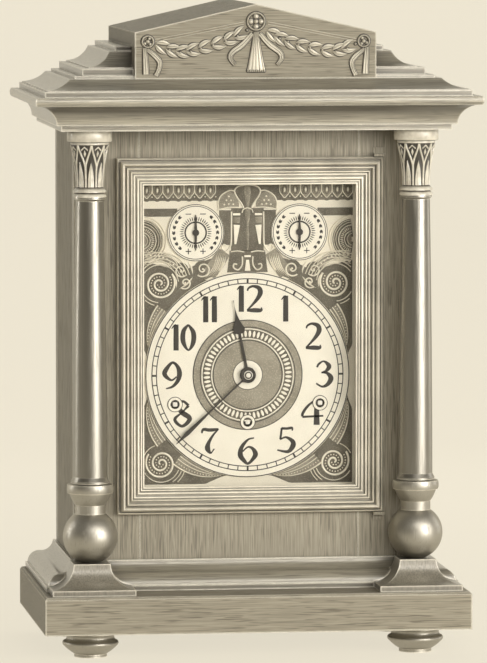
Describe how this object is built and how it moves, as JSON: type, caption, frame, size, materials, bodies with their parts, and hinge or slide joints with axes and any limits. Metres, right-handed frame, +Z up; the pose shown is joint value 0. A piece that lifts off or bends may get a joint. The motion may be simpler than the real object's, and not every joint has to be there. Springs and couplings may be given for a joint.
{
  "type": "mantel clock",
  "caption": "Temple-front mantel clock with columns, stepped roof and pediment, glazed door over a chiming dial, wheel train, pendulum and hinged back door.",
  "frame": {"origin": "middle of the clock's outline, on the surface that the feet stand on", "axes": "+Z up, -Y towards the viewer of the dial, +X to that viewer's right"},
  "size_m": [0.314, 0.2, 0.458],
  "materials": {
    "case_wood": "polished fine-grained wood",
    "turned_wood": "turned and polished wood",
    "gilt_trim": "dull gilt brass",
    "clear_glass": "clear",
    "dial_brass": "matted brass",
    "dial_silver": "silvered and lacquered",
    "hand_black": "blued black",
    "wheel_brass": "lacquered brass",
    "arbor_steel": "polished steel",
    "gong_iron": "black japanned"
  },
  "bodies": {
    "case": {"back_frame": "case_wood", "back_hinges": "gilt_trim", "back_plate": "wheel_brass", "base_moulding": "case_wood", "base_slab": "case_wood", "bezel_pivots": "gilt_trim", "chapter_ring": "dial_silver", "column_bases": "turned_wood", "column_capitals": "turned_wood", "column_plinths": "case_wood", "column_shafts": "turned_wood", "cornice": "case_wood", "dial_centre": "dial_silver", "dial_ornaments": "gilt_trim", "dial_plate": "dial_brass", "feet": "turned_wood", "front_panel": "case_wood", "front_plate": "wheel_brass", "gong_block": "gong_iron", "gong_rods": "arbor_steel", "left_side": "case_wood", "lower_roof_step": "case_wood", "pediment_block": "case_wood", "pediment_swag": "gilt_trim", "plate_pillars": "wheel_brass", "right_side": "case_wood", "seat_board": "case_wood", "small_dials": "dial_silver", "upper_roof_step": "case_wood"},
    "front_door": {"bezel_frame": "gilt_trim", "bezel_glass": "clear_glass", "glass_stops": "gilt_trim"},
    "rear_door": {"back_door": "case_wood", "back_hinge_leaves": "gilt_trim", "back_knob": "gilt_trim"},
    "centre": {"centre_wheel": "wheel_brass", "cannon_pinion": "wheel_brass", "minute_hand": "hand_black", "hand_nut": "wheel_brass"},
    "hour": {"hour_wheel": "wheel_brass", "hour_hand": "hand_black"},
    "minute_work": {"minute_wheel": "wheel_brass"},
    "intermediate": {"intermediate_wheel": "wheel_brass"},
    "time_spring_barrel": {"time_barrel": "wheel_brass"},
    "third": {"third_wheel": "wheel_brass"},
    "escape": {"escape_wheel": "wheel_brass"},
    "anchor": {"pallet_anchor": "arbor_steel"},
    "pendulum": {"pendulum_rod": "arbor_steel", "pendulum_bob": "wheel_brass"},
    "time_arbor": {"time_winding_arbor": "arbor_steel"},
    "strike_arbor": {"strike_winding_arbor": "arbor_steel"},
    "chime_arbor": {"chime_winding_arbor": "arbor_steel"},
    "strike_spring_barrel": {"strike_barrel": "wheel_brass"},
    "chime_spring_barrel": {"chime_barrel": "wheel_brass"},
    "strike_lifting": {"strike_pin_wheel": "wheel_brass"},
    "chime_lifting": {"chime_pin_wheel": "wheel_brass"},
    "strike_striker": {"strike_hammer": "arbor_steel"},
    "chime_striker": {"chime_hammer": "arbor_steel"},
    "rate_setting": {"rate_pointer": "hand_black"},
    "chime_setting": {"chime_pointer": "hand_black"}
  },
  "joints": [
    {"name": "front_door_open", "type": "hinge", "parent": "case", "child": "front_door", "pos_m": [0.0922, -0.0386, 0.2235], "axis": [0, 0, 1], "range_deg": [0, 90]},
    {"name": "back_door_open", "type": "hinge", "parent": "case", "child": "rear_door", "pos_m": [0.0955, 0.0963, 0.2235], "axis": [0, 0, -1], "range_deg": [0, 110]},
    {"name": "minute_turn", "type": "hinge", "parent": "case", "child": "centre", "pos_m": [0, 0, 0.1946], "axis": [0, 1, 0], "continuous": true},
    {"name": "hour_turn", "type": "hinge", "parent": "case", "child": "hour", "pos_m": [0, 0, 0.1946], "axis": [0, 1, 0], "continuous": true},
    {"name": "minute_wheel_turn", "type": "hinge", "parent": "case", "child": "minute_work", "pos_m": [0.01414, 0, 0.20874], "axis": [0, 1, 0], "continuous": true},
    {"name": "intermediate_turn", "type": "hinge", "parent": "case", "child": "intermediate", "pos_m": [0.0186, 0, 0.18193], "axis": [0, 1, 0], "continuous": true},
    {"name": "time_barrel_turn", "type": "hinge", "parent": "case", "child": "time_spring_barrel", "pos_m": [0, 0, 0.161], "axis": [0, 1, 0], "continuous": true},
    {"name": "third_turn", "type": "hinge", "parent": "case", "child": "third", "pos_m": [-0.01136, 0, 0.21082], "axis": [0, 1, 0], "continuous": true},
    {"name": "escape_turn", "type": "hinge", "parent": "case", "child": "escape", "pos_m": [0, 0, 0.22426], "axis": [0, 1, 0], "continuous": true},
    {"name": "pendulum_swing", "type": "hinge", "parent": "case", "child": "pendulum", "pos_m": [0, 0.046, 0.24149], "axis": [0, 1, 0], "range_deg": [-3, 3]},
    {"name": "anchor_rock", "type": "hinge", "parent": "case", "child": "anchor", "pos_m": [0, 0, 0.24149], "axis": [0, 1, 0], "range_deg": [-3, 3]},
    {"name": "time_wind", "type": "hinge", "parent": "case", "child": "time_arbor", "pos_m": [0, 0, 0.161], "axis": [0, 1, 0], "continuous": true},
    {"name": "strike_wind", "type": "hinge", "parent": "case", "child": "strike_arbor", "pos_m": [-0.0518, 0, 0.1741], "axis": [0, 1, 0], "continuous": true},
    {"name": "chime_wind", "type": "hinge", "parent": "case", "child": "chime_arbor", "pos_m": [0.0518, 0, 0.1741], "axis": [0, 1, 0], "continuous": true},
    {"name": "strike_barrel_turn", "type": "hinge", "parent": "case", "child": "strike_spring_barrel", "pos_m": [-0.0518, 0, 0.1741], "axis": [0, 1, 0], "continuous": true},
    {"name": "chime_barrel_turn", "type": "hinge", "parent": "case", "child": "chime_spring_barrel", "pos_m": [0.0518, 0, 0.1741], "axis": [0, 1, 0], "continuous": true},
    {"name": "strike_pin_wheel_turn", "type": "hinge", "parent": "case", "child": "strike_lifting", "pos_m": [-0.0458, 0, 0.20145], "axis": [0, 1, 0], "continuous": true},
    {"name": "chime_pin_wheel_turn", "type": "hinge", "parent": "case", "child": "chime_lifting", "pos_m": [0.0458, 0, 0.20145], "axis": [0, 1, 0], "continuous": true},
    {"name": "strike_hammer_lift", "type": "hinge", "parent": "case", "child": "strike_striker", "pos_m": [0.044, 0.06625, 0.142], "axis": [0, 1, 0], "range_deg": [0, 8]},
    {"name": "chime_hammer_lift", "type": "hinge", "parent": "case", "child": "chime_striker", "pos_m": [0.068, 0.06625, 0.142], "axis": [0, 1, 0], "range_deg": [0, 8]},
    {"name": "rate_pointer_turn", "type": "hinge", "parent": "case", "child": "rate_setting", "pos_m": [-0.037, 0, 0.2957], "axis": [0, 1, 0], "range_deg": [-60, 60]},
    {"name": "chime_pointer_turn", "type": "hinge", "parent": "case", "child": "chime_setting", "pos_m": [0.037, 0, 0.2957], "axis": [0, 1, 0], "range_deg": [0, 180]}
  ],
  "couplings": [
    {"joint": "hour_turn", "follows": "minute_turn", "ratio": 0.083333},
    {"joint": "minute_wheel_turn", "follows": "minute_turn", "ratio": -0.33333},
    {"joint": "intermediate_turn", "follows": "minute_turn", "ratio": -0.25},
    {"joint": "time_barrel_turn", "follows": "minute_turn", "ratio": 0.041667},
    {"joint": "third_turn", "follows": "minute_turn", "ratio": -10},
    {"joint": "escape_turn", "follows": "minute_turn", "ratio": 100},
    {"joint": "anchor_rock", "follows": "pendulum_swing", "ratio": 1},
    {"joint": "strike_pin_wheel_turn", "follows": "strike_barrel_turn", "ratio": -6},
    {"joint": "chime_pin_wheel_turn", "follows": "chime_barrel_turn", "ratio": -6}
  ]
}
